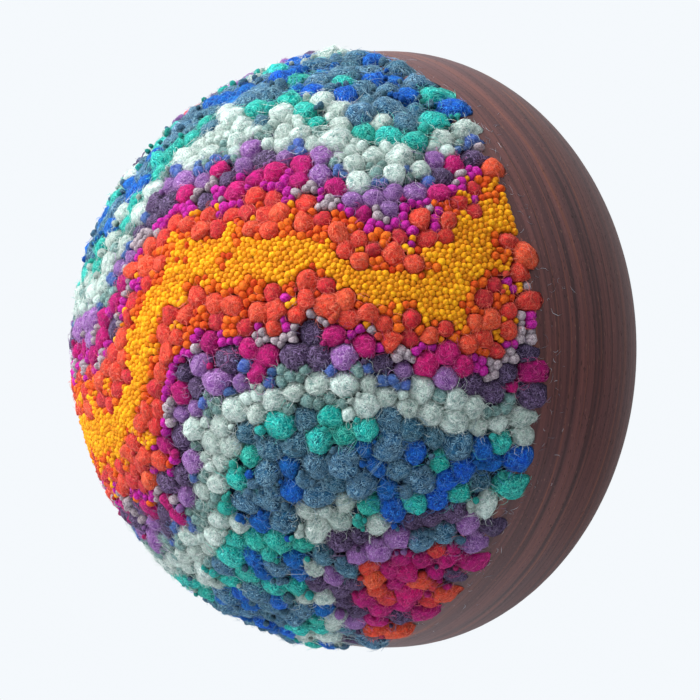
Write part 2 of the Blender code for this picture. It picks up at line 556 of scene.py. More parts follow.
CLOTH_SHADED_TINTS = (
    {"end": 0.010, "tint": screen(222, 132, 14)},
    {"end": 0.023, "tint": screen(178, 44, 32)},
    {"end": 0.035, "tint": screen(66, 26, 62)},
    {"end": 0.041, "tint": screen(40, 56, 100)},
    {"end": 0.055, "tint": screen(70, 102, 104)},
    {"end": 0.096, "tint": screen(22, 60, 88)},
    {"end": math.inf, "tint": screen(70, 30, 62)},
)


def point_layer(mesh, name, kind, values):
    """Writes one value for each point of a mesh."""
    layer = mesh.attributes.new(name, kind, "POINT")
    key = {"FLOAT": "value", "FLOAT_VECTOR": "vector", "FLOAT_COLOR": "color"}[kind]
    layer.data.foreach_set(key, np.ascontiguousarray(values, np.float32).ravel())


def points_of(mesh):
    """The points of a mesh as an array."""
    spots = np.zeros(len(mesh.vertices) * 3)
    mesh.vertices.foreach_get("co", spots)
    return spots.reshape(-1, 3)


def pitch_near(spots):
    """The pitch of the loops about each spot, the nearest counting most."""
    pitches = np.zeros(len(spots))
    for start in range(0, len(spots), CLOTH_BATCH):
        batch = slice(start, start + CLOTH_BATCH)
        apart = distances(spots[batch], LOOP_SPOT) - LOOP_PITCH / 2
        apart -= apart.min(axis=1, keepdims=True)
        weight = np.exp(-(apart / BLEND_REACH) ** 2)
        pitches[batch] = (weight * LOOP_PITCH).sum(axis=1) / weight.sum(axis=1)
    return pitches


def stretch_cloth():
    """A ball cut flat at its seat, then drawn in to the cloth's depth under each loop."""
    deselect()
    bpy.ops.mesh.primitive_uv_sphere_add(
        segments=CLOTH_SIDES, ring_count=CLOTH_RINGS, radius=1, rotation=(math.pi / 2, 0, 0)
    )
    cloth = bpy.context.object
    cloth.name = "ground_cloth"
    bpy.ops.object.transform_apply(location=True, rotation=True, scale=True)
    edit_all()
    edge = -(SEAT + HEM_GAP - DOME_CENTRE) / DOME_AXIS
    bpy.ops.mesh.bisect(plane_co=(0, edge, 0), plane_no=(0, 1, 0), use_fill=True, clear_outer=True)
    bpy.ops.mesh.select_all(action="SELECT")
    bpy.ops.mesh.normals_make_consistent(inside=False)
    leave_edit()

    mesh = cloth.data
    ways = points_of(mesh)
    sunk = LEG_DEPTH + LEG_SHARE * pitch_near(dome_spots(ways))
    spots = dome_spots(ways, sunk)
    spots[:, 1] = np.minimum(spots[:, 1], -SEAT)
    mesh.vertices.foreach_set("co", spots.ravel())
    distance = np.abs(stripe_run(ways))
    tints = np.zeros((len(ways), 4))
    start = -1
    for zone in CLOTH_SHADED_TINTS:
        tints[(distance > start) & (distance <= zone["end"])] = zone["tint"]
        start = zone["end"]
    # Each point's tint: the legs' dye, darkened as painted shade
    point_layer(mesh, "dye", "FLOAT_COLOR", tints)
    bpy.ops.object.shade_smooth()
    return cloth


def cloth_finish():
    """Even weave, with the dye of the legs about it, mixed by patches towards near black as painted
    shade between the yarns.
    """
    finish = Finish("punched_ground", Roughness=0.95, Specular_IOR_Level=0.2)
    place = finish.add("ShaderNodeTexCoord", output="Object")
    dye = finish.add("ShaderNodeAttribute", {"attribute_name": "dye"})
    x, y, z = finish.parts(place)
    weft = x.math("SINE", x * 5200)
    warp = z.math("SINE", z * 5200)
    tufts = finish.grain(place, 900.0, 3.0)
    # Painted shade: by patches of noise, the legs' dye goes a fifth to nine tenths of the way to
    # near black
    shade = finish.mix(tufts.between(0.3, 0.7) * 0.7 + 0.1, screen(22, 16, 20), dye)
    finish.put(finish.shader.inputs["Base Color"], shade)
    finish.raise_by(weft * 0.2 + warp * 0.2 + tufts, 0.8, 0.0003)
    return finish.material


cloth = stretch_cloth()
cloth.data.materials.append(cloth_finish())
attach(cloth, "root")
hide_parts("punched_cushion")


# Gold is a thin, firm yarn, punched close into small seeds. A few uneven, rounded tufts
# are modelled and copied to all its places, each copy with its own lean, turn and size,
# and pressed by its neighbours as packed loops press each other.

TUFT_FORMS = 5
ROW_SPREAD = math.radians(26)
WHORL = 0.7
THIN_PITCH = 0.0026

# Pressing, in pitches but for the gap: how far a loop feels its neighbours, how softly
# they flatten it, how far loops of one yarn felt into each other, and how far one that
# was punched fuller bulges over the next
TOUCH_REACH = 0.84
PRESS_GAP = 0.00003
PRESS_SOFT = 0.06
MERGE = {"coral": 0.20, "raspberry": 0.20, "slate": 0.13, "cobalt": 0.13}
FIRM_MERGE = 0.08
BULGE = 0.17

# How unevenly deep the loops are punched, in pitches, how near the rim they begin to hang
# over it, how far they then hang out, and how far they keep from the wood's side
UNEVEN = 0.075
HANG_REACH = 0.6
OVERHANG = 0.22
SIDE_GAP = 0.0002


def rows_along():
    """For each loop, the way out of the dome and the way its row runs along a stripe."""
    outward = unit(LOOP_WAY / HALF_AXES)
    side = unit(np.cross(outward, (0.3, 0.2, 0.93)))
    other = np.cross(outward, side)
    step = 0.004

    def slope(way):
        """How fast the distance across the stripes grows in some way."""
        ahead, behind = unit(LOOP_WAY + way * step), unit(LOOP_WAY - way * step)
        return (stripe_run(ahead) - stripe_run(behind))[:, None]

    return outward, unit(side * -slope(other) + other * slope(side))


def neighbour_lists():
    """For each loop, the loops that press on it."""
    first, second = near_pairs(LOOP_SPOT, LOOP_PITCH * TOUCH_REACH)
    lists = [[] for _ in LOOP_KIND]
    for one, two in zip(first, second):
        lists[one].append(two)
        lists[two].append(one)
    return [np.array(found, int) for found in lists]


OUTWARD, ROW_WAY = rows_along()
NEIGHBOURS = neighbour_lists()
LOOP_SKIN = {}


def model_loops(cuts, dent, droop, slub):
    """A few uneven tufts about as large as a unit ball: drooping ends, a dent and slubs."""
    shapes = []
    for turn in range(TUFT_FORMS):
        deselect()
        bpy.ops.mesh.primitive_ico_sphere_add(subdivisions=1, radius=1)
        tuft = bpy.context.object
        edit_all()
        bpy.ops.mesh.subdivide(number_cuts=cuts)
        bpy.ops.transform.tosphere(value=1)
        leave_edit()
        ball = points_of(tuft.data)
        for side in (-1, 1):
            pick(tuft, lambda spot, side=side: spot.y * side > 0.55)
            bpy.ops.transform.translate(value=(0, 0, -droop * (0.8 + 0.1 * turn)))
            leave_edit()
        pick(tuft, lambda spot, turn=turn: spot.z > 0.8 and abs(spot.x - 0.1 * turn + 0.15) < 0.35)
        bpy.ops.transform.translate(value=(0, 0, -dent))
        bpy.ops.mesh.select_all(action="SELECT")
        bpy.ops.mesh.vertices_smooth(factor=0.5, repeat=1)
        leave_edit()
        cloud = bpy.data.textures.new("slub", "CLOUDS")
        cloud.noise_scale = 0.50 + 0.12 * turn
        swell = tuft.modifiers.new("swell", "DISPLACE")
        swell.texture = cloud
        swell.strength = slub
        swell.mid_level = 0.5
        bpy.ops.object.modifier_apply(modifier="swell")
        spots = points_of(tuft.data)
        spots /= np.linalg.norm(spots, axis=1).mean()
        tuft.data.calc_loop_triangles()
        faces = np.array([face.vertices[:] for face in tuft.data.loop_triangles])
        shapes.append({"spots": spots, "ball": ball, "faces": faces})
        bpy.data.objects.remove(tuft)
    return shapes


def pick(thing, test):
    """Selects the points of a piece that pass a test, and leaves it in edit mode."""
    bpy.ops.object.mode_set(mode="EDIT")
    bpy.ops.mesh.select_all(action="DESELECT")
    leave_edit()
    for vertex in thing.data.vertices:
        vertex.select = test(vertex.co)
    bpy.ops.object.mode_set(mode="EDIT")


def turned_about(axis, angle):
    """The matrix of a turn about an axis."""
    x, y, z = axis / np.linalg.norm(axis)
    cross = np.array([[0, -z, y], [z, 0, -x], [-y, x, 0]])
    return np.eye(3) + math.sin(angle) * cross + (1 - math.cos(angle)) * cross @ cross


def press(spots, loop, middle):
    """Points of one loop pressed back from its neighbours' share of the room."""
    outward = OUTWARD[loop]
    soft = LOOP_PITCH[loop] * PRESS_SOFT
    merge = LOOP_PITCH[loop] * MERGE.get(YARN_NAMES[LOOP_KIND[loop]], FIRM_MERGE)
    for other in NEIGHBOURS[loop]:
        way = LOOP_SPOT[other] - LOOP_SPOT[loop]
        way -= outward * (way @ outward)
        apart = np.linalg.norm(way) + 1e-9
        way /= apart
        room = apart * LOOP_PITCH[loop] / (LOOP_PITCH[loop] + LOOP_PITCH[other])
        room += merge * (LOOP_KIND[loop] == LOOP_KIND[other]) - PRESS_GAP
        fuller = LOOP_OWN[loop] - LOOP_OWN[other]
        room += min(LOOP_PITCH[loop], LOOP_PITCH[other]) * BULGE * fuller
        reach = (spots - middle) @ way
        held = -soft * np.logaddexp(-reach / soft, -room / soft)
        spots = spots + way * (np.minimum(held, reach) - reach)[:, None]
    return spots


def over_the_rim(spots):
    """Points kept out of the wood by the nearest way: onto its front, or out past its side."""
    spots = spots.copy()
    out = np.linalg.norm(spots[:, [0, 2]], axis=1)
    height = -spots[:, 1]
    side = np.array([wood_radius(min(max(h, 0.0), WOOD_DEPTH)) for h in height]) + SIDE_GAP
    inside = (height < SEAT) & (out < side)
    lift = inside & (SEAT - height < side - out)
    spread = inside & ~lift
    spots[lift, 1] = -SEAT
    grow = side[spread] / np.maximum(out[spread], 1e-6)
    spots[spread, 0] *= grow
    spots[spread, 2] *= grow
    return spots


def mesh_from(name, spots, faces):
    """An object from arrays of points and triangles."""
    mesh = bpy.data.meshes.new(name)
    mesh.vertices.add(len(spots))
    mesh.vertices.foreach_set("co", np.ascontiguousarray(spots, np.float32).ravel())
    mesh.loops.add(len(faces) * 3)
    mesh.loops.foreach_set("vertex_index", np.ascontiguousarray(faces, np.int32).ravel())
    mesh.polygons.add(len(faces))
    mesh.polygons.foreach_set("loop_start", np.arange(0, len(faces) * 3, 3, dtype=np.int32))
    mesh.update(calc_edges=True)
    mesh.shade_smooth()
    thing = bpy.data.objects.new(name, mesh)
    bpy.context.scene.collection.objects.link(thing)
    return thing


def punch(name, yarn, shapes, material, plump, stretch, tall, lean=0.24):
    """Punches all the loops of one yarn: a joined mesh of leaning, pressed tufts.

    plump is a tuft's width in pitches, stretch its length along the row and tall its height,
    both in widths, and lean how far it leans off upright.
    """
    all_spots, all_faces, all_swirl, all_own, all_lift = [], [], [], [], []
    count = 0
    for loop in np.nonzero(LOOP_KIND == YARN_NAMES.index(yarn))[0]:
        group = SEED_SHAPES if LOOP_PITCH[loop] < THIN_PITCH else shapes
        shape = group[draws.integers(len(group))]
        half = LOOP_PITCH[loop] / 2 * plump * (0.91 + 0.2 * LOOP_OWN[loop] + 0.05 * draws.normal())
        long = half * stretch * (1 + 0.14 * draws.normal())
        high = half * tall * (1 + 0.08 * draws.normal())
        outward = OUTWARD[loop]
        turn = turned_about(outward, ROW_SPREAD * draws.normal())
        row = turn @ ROW_WAY[loop]
        up = outward + lean * draws.normal() * row + lean * draws.normal() * np.cross(outward, row)
        up /= np.linalg.norm(up)
        row = row - up * (row @ up)
        row /= np.linalg.norm(row)
        across = np.cross(row, up)
        frame_of = np.stack([across * half, row * long, up * high])
        uneven = 1.4 - 2.4 * LOOP_OWN[loop] + draws.uniform(-0.7, 1.3)
        sunk = SUNK[LOOP_KIND[loop]] + UNEVEN * LOOP_PITCH[loop] * uneven
        middle = LOOP_SPOT[loop] - outward * (sunk + high)
        above = (LOOP_SPOT[loop][1] + SEAT) / (HANG_REACH * LOOP_PITCH[loop])
        hang = max(0.0, 1 + above)
        middle += hang * LOOP_PITCH[loop] * OVERHANG * np.array([outward[0], 0.5, outward[2]])
        spots = press(middle + shape["spots"] @ frame_of, loop, middle)
        spots = over_the_rim(spots)
        axis = turned_about(draws.normal(size=3), WHORL * draws.normal())
        all_spots.append(spots)
        all_faces.append(shape["faces"] + count)
        all_swirl.append(shape["ball"] @ axis)
        all_own.append(np.full(len(spots), LOOP_OWN[loop]))
        all_lift.append(shape["ball"][:, 2])
        LOOP_SKIN[loop] = {"spots": spots, "ball": shape["ball"], "middle": middle}
        count += len(spots)
    thing = mesh_from(name, np.concatenate(all_spots), np.concatenate(all_faces))
    point_layer(thing.data, "swirl", "FLOAT_VECTOR", np.concatenate(all_swirl))
    point_layer(thing.data, "own", "FLOAT", np.concatenate(all_own))
    # The height on each tuft, by which its lower part is darkened as painted shade
    point_layer(thing.data, "lift", "FLOAT", np.concatenate(all_lift))
    thing.data.materials.append(material)
    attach(thing, "root")
    return thing


def wool(
    name,
    deep,
    body,
    pale,
    lines,
    curl=2.0,
    hairs=0.6,
    nap=0.00042,
    shine=0.85,
    dark=0.65,
    fuzz=0.25,
    specks=0.65,
):
    """Dyed wool: curled fibres wound about each tuft, paler over deeper, and painted shade at its
    foot.

    lines is how many fibres show across a tuft, curl how much they wander, hairs how pale
    the upper ones are and nap how high they stand. shine is the roughness, dark how dark the
    painted shade at each tuft's foot is, fuzz the sheen and specks how strong the deep specks are.
    """
    finish = Finish(name, Roughness=shine, Specular_IOR_Level=0.25)
    finish.put(finish.shader.inputs["Sheen Weight"], fuzz)
    finish.put(finish.shader.inputs["Sheen Roughness"], 0.4)
    finish.put(finish.shader.inputs["Sheen Tint"], pale)
    finish.put(finish.shader.inputs["Subsurface Weight"], 0.25)
    finish.put(finish.shader.inputs["Subsurface Radius"], (0.0012, 0.0012, 0.0012))
    finish.put(finish.shader.inputs["Subsurface Scale"], 1.0)
    swirl = finish.add("ShaderNodeAttribute", {"attribute_name": "swirl"}, output="Vector")
    own = finish.add("ShaderNodeAttribute", {"attribute_name": "own"}, output="Fac")
    lift = finish.add("ShaderNodeAttribute", {"attribute_name": "lift"}, output="Fac")
    x, y, z = finish.parts(swirl)

    def fibres(across, turns, seed, thin):
        """Fine lines that wind about one axis, curl, and break off."""
        wander = finish.grain(swirl, 1.9, 2.0, own * 61 + seed, 0.45) - 0.5
        level = across.math("SINE", (across + wander * curl) * turns * math.tau)
        broken = finish.grain(swirl, 5.5, 1.0, own * 29 + seed).between(0.36, 0.56)
        return level.between(thin, 1.0) * broken

    first = fibres(x + z * 0.3, lines, 1.0, 0.25)
    second = fibres(y - x * 0.4, lines * 0.8, 5.0, 0.35)
    third = fibres(z + y * 0.5, lines * 0.62, 9.0, 0.45)
    clot = finish.grain(swirl, 3.0, 3.0, own * 17, 0.6)
    speck = finish.grain(swirl, 10.0, 2.0, own * 37, 0.7).between(0.50, 0.66)

    base = finish.mix(clot.between(0.30, 0.62), deep, body)
    base = finish.mix(speck * specks, base, deep)
    base = finish.mix(third * 0.75, base, deep)
    base = finish.mix(second * hairs * 0.75, base, pale)
    base = finish.mix(first * hairs, base, pale)
    # Painted shade: the lower part of each tuft, down by the cloth, goes to its deep colour,
    # darkened towards black by dark
    painted_root_shade = finish.mix(dark, deep, screen(6, 5, 12))
    with_root_shade = finish.mix(lift.between(-0.60, 0.20), painted_root_shade, base)
    varied = finish.add(
        "ShaderNodeHueSaturation",
        inputs={"Hue": 0.490 + own * 0.020, "Value": 0.84 + own * 0.32, "Color": with_root_shade},
    )
    finish.put(finish.shader.inputs["Base Color"], varied)
    finish.raise_by(first * 0.7 + second * 0.5 - third * 0.4 + clot * 0.5, 0.9, nap)
    return finish.material


SEED_SHAPES = model_loops(cuts=1, dent=0.10, droop=0.12, slub=0.25)
GOLD = {"deep": screen(214, 112, 4), "body": screen(250, 174, 10), "pale": screen(255, 210, 62)}
gold_wool = wool(
    "gold_wool", **GOLD, lines=2.2, hairs=0.3, nap=0.00010, dark=0.0, fuzz=0.2, specks=0.2
)
punch("gold_seeds", "gold", SEED_SHAPES, gold_wool, plump=1.30, stretch=1.12, tall=1.3, lean=0.3)


# Orange and fuchsia are two-ply yarns a little thicker than the gold. They stand among the
# gold and round the coral as small, firm loops: orange as seeds, fuchsia as upright ovals.

ORANGE = {"deep": screen(188, 50, 8), "body": screen(236, 98, 22), "pale": screen(252, 146, 60)}
FUCHSIA = {"deep": screen(130, 0, 104), "body": screen(200, 12, 160), "pale": screen(236, 96, 214)}
OVAL_SHAPES = model_loops(cuts=1, dent=0.08, droop=0.14, slub=0.2)
orange_wool = wool(
    "orange_wool", **ORANGE, lines=2.8, hairs=0.35, nap=0.00012, dark=0.15, fuzz=0.3, specks=0.2
)
fuchsia_wool = wool("fuchsia_wool", **FUCHSIA, lines=3.0, hairs=0.4, nap=0.00014, dark=0.3)
oval = {"stretch": 1.15, "tall": 1.4}
punch("orange_loops", "orange", SEED_SHAPES, orange_wool, plump=1.24, lean=0.25, **oval)
punch("fuchsia_loops", "fuchsia", OVAL_SHAPES, fuchsia_wool, plump=1.26, lean=0.22, **oval)


# The beads are no beads but loops of a smooth, silky grey yarn, punched singly along the
# edge of the warm stripes. They stay round, and catch a soft light on top.

BEAD = {"deep": screen(104, 90, 100), "body": screen(168, 152, 162), "pale": screen(228, 218, 222)}
bead_yarn = wool("silky_grey_yarn", **BEAD, lines=2.6, hairs=0.5, nap=0.00008, shine=0.55)
bead = {"plump": 1.22, "stretch": 1.2, "tall": 1.4, "lean": 0.3}
punch("grey_silk_loops", "bead", OVAL_SHAPES, bead_yarn, **bead)


# Denim, sage and pearl are plied yarns of middle weight. Their loops lie over as short
# arches, so they are longer along the row and droop at both ends.

DENIM = {"deep": screen(36, 62, 122), "body": screen(68, 102, 172), "pale": screen(138, 168, 216)}
SAGE = {"deep": screen(58, 92, 92), "body": screen(116, 154, 150), "pale": screen(180, 206, 200)}
PEARL = {"deep": screen(130, 158, 152), "body": screen(206, 226, 218), "pale": screen(242, 250, 246)}
ARCH_SHAPES = model_loops(cuts=1, dent=0.12, droop=0.32, slub=0.22)
denim_wool = wool("denim_wool", **DENIM, lines=3.2, hairs=0.4, nap=0.00014)
sage_wool = wool("sage_wool", **SAGE, lines=3.8, hairs=0.5, nap=0.00016)
pearl_wool = wool("pearl_wool", **PEARL, lines=3.6, hairs=0.5, nap=0.00014)
arch = {"tall": 1.3, "lean": 0.28}
punch("denim_arches", "denim", ARCH_SHAPES, denim_wool, plump=1.18, stretch=1.7, **arch)
punch("sage_arches", "sage", ARCH_SHAPES, sage_wool, plump=1.28, stretch=1.3, **arch)
punch("pearl_arches", "pearl", ARCH_SHAPES, pearl_wool, plump=1.28, stretch=1.3, **arch)


# Coral and raspberry are soft, hardly spun wools. Their loops spread and felt into each
# other, so their edges blur into low patches.

CORAL = {"deep": screen(168, 14, 28), "body": screen(238, 54, 46), "pale": screen(255, 130, 104)}
RASPBERRY = {"deep": screen(120, 0, 70), "body": screen(202, 0, 116), "pale": screen(238, 70, 160)}
SOFT_SHAPES = model_loops(cuts=2, dent=0.10, droop=0.12, slub=0.5)
coral_wool = wool("coral_wool", **CORAL, lines=7.0, curl=2.2, hairs=0.7)
raspberry_wool = wool("raspberry_wool", **RASPBERRY, lines=7.0, curl=2.2, hairs=0.65)
patch = {"plump": 1.44, "stretch": 1.1, "tall": 0.86}
punch("coral_patches", "coral", SOFT_SHAPES, coral_wool, **patch)
punch("raspberry_patches", "raspberry", SOFT_SHAPES, raspberry_wool, **patch)


# Plum and lilac are bulky, single, lightly spun wools. Each loop stands as a round ball
# with its fibres curled round it, pressed close to the next.

PLUM = {"deep": screen(30, 20, 44), "body": screen(72, 52, 86), "pale": screen(154, 130, 178)}
LILAC = {"deep": screen(94, 48, 120), "body": screen(150, 96, 172), "pale": screen(212, 170, 228)}
BALL_SHAPES = model_loops(cuts=2, dent=0.14, droop=0.12, slub=0.42)
plum_wool = wool("plum_wool", **PLUM, lines=7.0, hairs=0.8)
lilac_wool = wool("lilac_wool", **LILAC, lines=7.0, hairs=0.8)
punch("plum_balls", "plum", BALL_SHAPES, plum_wool, plump=1.28, stretch=1.12, tall=1.15)
punch("lilac_balls", "lilac", BALL_SHAPES, lilac_wool, plump=1.28, stretch=1.16, tall=1.15)


# Slate, cobalt, mint and turquoise are the bulkiest wools, thick and thin along their
# length. Slate is hairy and greyed, cobalt smoother, mint almost white, and turquoise has
# long bright fibres drawn over its longer loops.

SLATE = {"deep": screen(4, 38, 62), "body": screen(36, 98, 134), "pale": screen(150, 198, 220)}
COBALT = {"deep": screen(0, 34, 108), "body": screen(0, 92, 202), "pale": screen(60, 158, 248)}
MINT = {"deep": screen(108, 142, 138), "body": screen(208, 230, 220), "pale": screen(248, 253, 250)}
TURQUOISE = {"deep": screen(0, 92, 100), "body": screen(0, 182, 168), "pale": screen(104, 242, 224)}
slate_wool = wool("slate_wool", **SLATE, lines=7.5, curl=2.4, hairs=0.9)
cobalt_wool = wool("cobalt_wool", **COBALT, lines=7.0, hairs=0.75)
mint_wool = wool("mint_wool", **MINT, lines=7.0, hairs=0.8)
turquoise_wool = wool("turquoise_wool", **TURQUOISE, lines=7.0, curl=1.6, hairs=0.85)
punch("slate_balls", "slate", BALL_SHAPES, slate_wool, plump=1.3, stretch=1.12, tall=1.1)
punch("cobalt_balls", "cobalt", BALL_SHAPES, cobalt_wool, plump=1.28, stretch=1.12, tall=1.15)
punch("mint_balls", "mint", BALL_SHAPES, mint_wool, plump=1.28, stretch=1.16, tall=1.15)
long_ball = {"plump": 1.27, "stretch": 1.22, "tall": 1.15}
punch("turquoise_balls", "turquoise", BALL_SHAPES, turquoise_wool, **long_ball)


# Loose fibres stand off the soft wools: fine hairs that curl round each loop, some lifted
# at one end, and others that cross to the next loop. Short ones have strayed over the rim
# onto the wood, and one longer one lies there.

FIBRE_RADIUS = 0.000056
FIBRE_POINTS = 4
TUBE_SIDES = 3
FIBRE_GAP = 0.00012
CROSSING_SHARE = 0.28
LIFTED_SHARE = 0.34

# Stray hairs on the wood, and the longer one's angle, height, step, heading and curl
STRAY_HAIRS = 640
STRAY_RADIUS = 0.00004
STRAY_TINTS = screen(104, 108, 128), screen(206, 208, 218)
LONG_STRAY = (0.11, 0.0560, 0.0019, 1.9, -0.75)

# Each yarn's dye, and the hairs on a loop of its full pitch
FIBRE_YARNS = {
    "plum": {"dye": PLUM, "each": 44},
    "lilac": {"dye": LILAC, "each": 45},
    "slate": {"dye": SLATE, "each": 58},
    "cobalt": {"dye": COBALT, "each": 40},
    "mint": {"dye": MINT, "each": 60},
    "turquoise": {"dye": TURQUOISE, "each": 48},
    "coral": {"dye": CORAL, "each": 22},
    "raspberry": {"dye": RASPBERRY, "each": 34},
    "sage": {"dye": SAGE, "each": 19},
    "pearl": {"dye": PEARL, "each": 19},
    "denim": {"dye": DENIM, "each": 15},
}


def tubes(routes, radius):
    """Fine three-sided hairs along routes of a few points, pointed at both ends."""
    routes = np.asarray(routes)
    ahead = np.gradient(routes, axis=1)
    ahead /= np.linalg.norm(ahead, axis=2, keepdims=True) + 1e-12
    side = np.cross(ahead, (0.31, 0.52, 0.79))
    side /= np.linalg.norm(side, axis=2, keepdims=True) + 1e-12
    other = np.cross(ahead, side)
    count = len(routes)
    angles = math.tau * np.arange(TUBE_SIDES) / TUBE_SIDES
    inner = slice(1, FIBRE_POINTS - 1)
    rings = routes[:, inner, None, :] + np.reshape(radius, (-1, 1, 1, 1)) * (
        side[:, inner, None, :] * np.cos(angles)[None, None, :, None]
        + other[:, inner, None, :] * np.sin(angles)[None, None, :, None]
    )
    rings = rings.reshape(count, -1, 3)
    spots = np.concatenate([routes[:, :1], rings, routes[:, -1:]], axis=1)
    faces = []
    last = 1 + TUBE_SIDES * (FIBRE_POINTS - 2)
    for side_number in range(TUBE_SIDES):
        after = (side_number + 1) % TUBE_SIDES
        faces.append((0, 1 + after, 1 + side_number))
        for ring in range(FIBRE_POINTS - 3):
            here, there = 1 + ring * TUBE_SIDES, 1 + (ring + 1) * TUBE_SIDES
            faces.append((here + side_number, here + after, there + after))
            faces.append((here + side_number, there + after, there + side_number))
        end = last - TUBE_SIDES
        faces.append((end + side_number, end + after, last))
    faces = np.array(faces)
    each = spots.shape[1]
    all_faces = (faces[None] + np.arange(count)[:, None, None] * each).reshape(-1, 3)
    return spots.reshape(-1, 3), all_faces, each


def skin_at(loop, ways):
    """The points of a loop's surface that lie in some ways from its middle."""
    skin = LOOP_SKIN[loop]
    facing = unit(skin["spots"] - skin["middle"])
    weight = np.exp(30 * (ways @ facing.T - 1))
    return (weight @ skin["spots"]) / weight.sum(axis=1, keepdims=True)


def crossing_routes(loop, many):
    """Routes of hairs that cross from a loop to those beside it, and hide the gap."""
    beside = [
        other
        for other in NEIGHBOURS[loop]
        if other in LOOP_SKIN and LOOP_PITCH[other] > THIN_PITCH
    ]
    routes = np.zeros((many if beside else 0, FIBRE_POINTS, 3))
    for number in range(len(routes)):
        other = beside[draws.integers(len(beside))]
        across = LOOP_SPOT[other] - LOOP_SPOT[loop]
        across /= np.linalg.norm(across)
        stray = np.cross(across, OUTWARD[loop]) * draws.normal() * 0.5
        leave = across * draws.uniform(0.2, 0.8) + OUTWARD[loop] + stray
        land = -across * draws.uniform(0.2, 0.8) + OUTWARD[loop] + stray
        start = skin_at(loop, leave[None] / np.linalg.norm(leave))[0]
        end = skin_at(other, land[None] / np.linalg.norm(land))[0]
        bow = np.cross(end - start, OUTWARD[loop]) * draws.normal() * 0.35
        for step in range(FIBRE_POINTS):
            share = step / (FIBRE_POINTS - 1)
            arch = 4 * share * (1 - share)
            routes[number, step] = start + (end - start) * share + bow * arch
            routes[number, step] += OUTWARD[loop] * FIBRE_GAP
    return routes


def curled_routes(loop, many):
    """Routes of hairs that curl round on a loop just over its surface, or lift at one end."""
    skin = LOOP_SKIN[loop]
    middle = draws.normal(size=(many, 3))
    middle[:, 2] = np.abs(middle[:, 2]) * 0.9 + 0.1
    middle = unit(middle)
    one = unit(np.cross(middle, draws.normal(size=(many, 3))))
    other = np.cross(middle, one)
    reach = draws.uniform(0.15, 0.75, (many, 1))
    sweep = draws.uniform(0.8, 2.2, (many, 1)) / (0.6 + reach)
    growth = draws.uniform(-0.4, 0.8, (many, 1))
    stand = draws.uniform(0.00005, 0.00038, (many, 1)) * (LOOP_PITCH[loop] / 0.007) ** 0.5
    lifted = draws.uniform(0, 1, (many, 1)) < LIFTED_SHARE
    routes = np.zeros((many, FIBRE_POINTS, 3))
    for step in range(FIBRE_POINTS):
        share = step / (FIBRE_POINTS - 1)
        wide = reach * (1 + growth * share)
        turn = sweep * share
        way = middle * np.cos(wide) + (one * np.cos(turn) + other * np.sin(turn)) * np.sin(wide)
        weight = np.exp(26 * (way @ skin["ball"].T - 1))
        surface = (weight @ skin["spots"]) / weight.sum(axis=1, keepdims=True)
        rise = stand * np.where(lifted, 0.5 + 3.6 * share**1.5, 1.0) + FIBRE_GAP
        routes[:, step] = surface + unit(surface - skin["middle"]) * rise
    return routes


def grow_fibres(name, yarns, strays=None):
    """One joined mesh of the hairs of some yarns, each hair in a tint of its own yarn."""
    routes, dyes, radii = [], [], []
    for yarn in yarns:
        dye = FIBRE_YARNS[yarn]["dye"]
        for loop in np.nonzero(LOOP_KIND == YARN_NAMES.index(yarn))[0]:
            size = LOOP_PITCH[loop] / PITCH[LOOP_KIND[loop]]
            many = round(FIBRE_YARNS[yarn]["each"] * size**2)
            crossing = crossing_routes(loop, round(many * CROSSING_SHARE))
            routes += [curled_routes(loop, many), crossing]
            share = draws.uniform(0.2, 1.0, (many + len(crossing), 1))
            dyes.append(np.array(dye["body"]) * (1 - share) + np.array(dye["pale"]) * share)
            radii.append(np.full(len(share), FIBRE_RADIUS))
    if strays is not None:
        routes.append(strays)
        share = draws.uniform(0.0, 1.0, (len(strays), 1))
        share[-1] = 1
        dyes.append(np.array(STRAY_TINTS[0]) * (1 - share) + np.array(STRAY_TINTS[1]) * share)
        radii.append(STRAY_RADIUS * (1 + share[:, 0] ** 4 * 0.5))
    spots, faces, each = tubes(np.concatenate(routes), np.concatenate(radii))
    thing = mesh_from(name, spots, faces)
    point_layer(thing.data, "dye", "FLOAT_COLOR", np.repeat(np.concatenate(dyes), each, axis=0))
    thing.data.materials.append(HAIR_FINISH)
    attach(thing, "root")
    return thing


def hair_finish():
    """Dyed wool hair, its dye a little uneven along it."""
    finish = Finish("loose_wool", Roughness=0.8, Specular_IOR_Level=0.3)
    finish.put(finish.shader.inputs["Sheen Weight"], 0.1)
    place = finish.add("ShaderNodeTexCoord", output="Object")
    dye = finish.add("ShaderNodeAttribute", {"attribute_name": "dye"})
    uneven = finish.grain(place, 700.0, 1.0)
    shade = finish.mix(uneven.between(0.3, 0.7) * 0.12, dye, screen(240, 240, 240))
    finish.put(finish.shader.inputs["Base Color"], shade)
    return finish.material


def strayed_routes():
    """Routes of loose hairs that have settled on the side of the wood, near the rim."""
    routes = np.zeros((STRAY_HAIRS + 1, FIBRE_POINTS, 3))
    for number in range(len(routes)):
        angle = draws.uniform(0, math.tau)
        height = WOOD_DEPTH - 0.0006 - abs(draws.normal()) * 0.006
        length, heading = draws.uniform(0.0003, 0.0013), draws.uniform(0, math.tau)
        curl = draws.normal() * 0.7
        if number == STRAY_HAIRS:
            angle, height, length, heading, curl = LONG_STRAY
        for step in range(FIBRE_POINTS):
            radius = wood_radius(height) + STRAY_RADIUS
            routes[number, step] = (radius * math.cos(angle), -height, radius * math.sin(angle))
            angle += length * math.cos(heading) / radius
            height = min(height + length * math.sin(heading), WOOD_DEPTH - 0.0004)
            heading += curl
    return routes


HAIR_FINISH = hair_finish()
grow_fibres("cool_fibres", ("slate", "cobalt", "turquoise"))
grow_fibres("pale_fibres", ("mint", "pearl", "sage", "denim"), strayed_routes())
grow_fibres("warm_fibres", ("plum", "lilac", "raspberry", "coral"))


# The camera stands to the right of the front at the object's height, as in the
# photograph. The light is soft: a pale surround that is brightest at the upper left, and
# one large lamp there.

